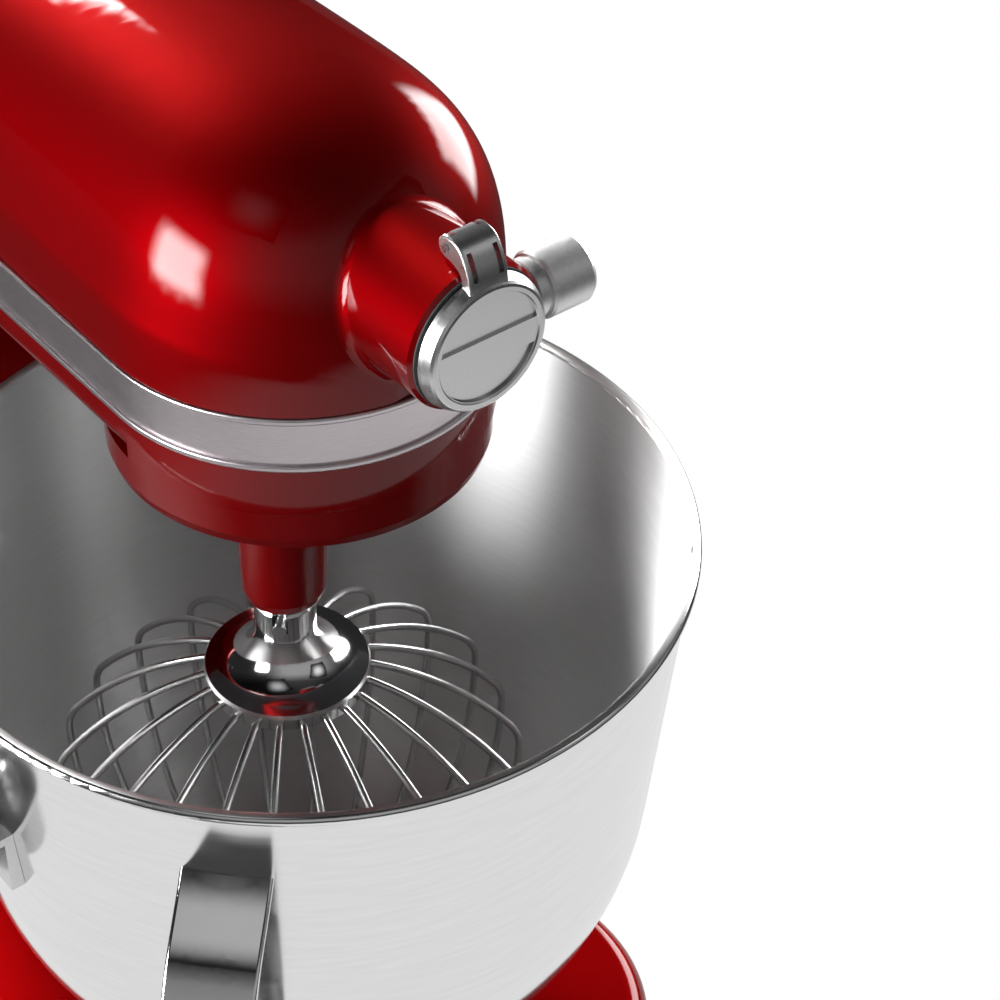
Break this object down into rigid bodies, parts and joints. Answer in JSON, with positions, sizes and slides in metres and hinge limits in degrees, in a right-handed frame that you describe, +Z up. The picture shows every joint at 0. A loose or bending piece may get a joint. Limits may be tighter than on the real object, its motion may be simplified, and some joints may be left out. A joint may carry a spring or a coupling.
{
  "type": "stand mixer",
  "caption": "Bowl-lift stand mixer with a red cast stand and head, hinged attachment hub, planetary drive with wire whisk, and a lever-raised steel bowl.",
  "frame": {"origin": "on the table under the middle of the mixer's plan outline", "axes": "+Z up, -Y towards the front where the attachment hub points, +X to the right seen from the front"},
  "size_m": [0.288, 0.3764, 0.416],
  "materials": {
    "red_paint": "gloss metallic",
    "trim_metal": "satin",
    "bright_steel": "polished",
    "satin_steel": "satin",
    "cover_metal": "fine satin",
    "gear_steel": "machined",
    "bearing_bronze": "machined",
    "black_rubber": "matte",
    "black_plastic": "matte",
    "dark_iron": "laminated",
    "copper_wire": "enamelled",
    "board_green": "matte"
  },
  "bodies": {
    "stand": {"stand_casting": "red_paint", "rubber_feet": "black_rubber", "housing_screws": "satin_steel", "lever_bush": "bearing_bronze", "guide_rods": "satin_steel", "gearcase_housing": "red_paint", "motor_housing": "red_paint", "trim_band": "trim_metal", "rear_cover": "red_paint", "rear_cover_screw": "satin_steel", "cord_grommet": "black_rubber", "brush_caps": "black_plastic", "hub_gasket": "black_rubber", "hub_sleeve": "satin_steel", "hub_bush": "bearing_bronze", "hub_hinge_pin": "satin_steel", "ring_gear": "gear_steel", "motor_stator": "dark_iron", "stator_screws": "satin_steel", "front_bracket": "dark_iron", "rear_bracket": "dark_iron", "motor_bearings": "gear_steel", "brush_holders": "black_plastic", "control_board": "board_green", "centre_bush": "bearing_bronze"},
    "hub_cover": {"hub_cover": "cover_metal"},
    "hub_knob": {"hub_knob": "cover_metal", "hub_knob_screw": "satin_steel"},
    "speed_lever": {"speed_lever": "satin_steel", "speed_knob": "black_plastic"},
    "planetary": {"planetary_housing": "red_paint", "beater_bushes": "bearing_bronze", "planetary_shaft": "gear_steel", "planetary_pin": "gear_steel", "centre_gear": "gear_steel", "bevel_gear": "gear_steel"},
    "beater": {"beater_shaft": "satin_steel", "beater_pin": "satin_steel", "planet_pinion": "gear_steel", "whisk_hub": "bright_steel", "whisk_wires": "satin_steel"},
    "worm_wheel": {"worm_wheel": "bearing_bronze", "wheel_pinion": "gear_steel", "wheel_shaft": "gear_steel"},
    "armature": {"motor_shaft": "gear_steel", "armature_core": "dark_iron", "commutator": "copper_wire", "cooling_fan": "black_plastic"},
    "hub_drive": {"hub_drive_shaft": "gear_steel", "hub_gear": "gear_steel"},
    "bowl_lift": {"lift_yoke": "cover_metal", "yoke_pins": "satin_steel", "bowl_latch": "satin_steel", "bowl_shell": "bright_steel", "bowl_handle": "bright_steel", "bowl_brackets": "satin_steel"},
    "lift_lever": {"lift_shaft": "gear_steel", "lift_lever": "bright_steel", "lift_knob": "black_plastic"}
  },
  "joints": [
    {"name": "hub_cover_flip", "type": "hinge", "parent": "stand", "child": "hub_cover", "pos_m": [0, -0.1403, 0.4028], "axis": [-1, 0, 0], "range_deg": [0, 110]},
    {"name": "hub_knob_turn", "type": "hinge", "parent": "stand", "child": "hub_knob", "pos_m": [0.03, -0.1367, 0.3755], "axis": [1, 0, 0], "continuous": true},
    {"name": "speed_slide", "type": "slide", "parent": "stand", "child": "speed_lever", "axis": [0, 1, 0], "range_m": [0, 0.05]},
    {"name": "planetary_spin", "type": "hinge", "parent": "stand", "child": "planetary", "pos_m": [0, -0.0658, 0.3], "axis": [0, 0, 1], "continuous": true},
    {"name": "beater_spin", "type": "hinge", "parent": "planetary", "child": "beater", "pos_m": [-0.02493, -0.09073, 0.28], "axis": [0, 0, 1], "continuous": true},
    {"name": "worm_wheel_spin", "type": "hinge", "parent": "stand", "child": "worm_wheel", "pos_m": [0.026, -0.03458, 0.35], "axis": [0, 0, 1], "continuous": true},
    {"name": "armature_spin", "type": "hinge", "parent": "stand", "child": "armature", "pos_m": [0, 0.0342, 0.372], "axis": [0, 1, 0], "continuous": true},
    {"name": "hub_drive_spin", "type": "hinge", "parent": "stand", "child": "hub_drive", "pos_m": [0, -0.1008, 0.3755], "axis": [0, -1, 0], "continuous": true},
    {"name": "bowl_raise", "type": "slide", "parent": "stand", "child": "bowl_lift", "axis": [0, 0, 1], "range_m": [-0.036, 0]},
    {"name": "lift_lever_turn", "type": "hinge", "parent": "stand", "child": "lift_lever", "pos_m": [0.06, 0.0992, 0.187], "axis": [-1, 0, 0], "range_deg": [0, 165.1]}
  ],
  "couplings": [
    {"joint": "beater_spin", "follows": "planetary_spin", "ratio": -4.1333},
    {"joint": "worm_wheel_spin", "follows": "planetary_spin", "ratio": -3.3333},
    {"joint": "armature_spin", "follows": "planetary_spin", "ratio": -80},
    {"joint": "hub_drive_spin", "follows": "planetary_spin", "ratio": 1.5},
    {"joint": "lift_lever_turn", "follows": "bowl_raise", "rad_per_m": -80}
  ]
}
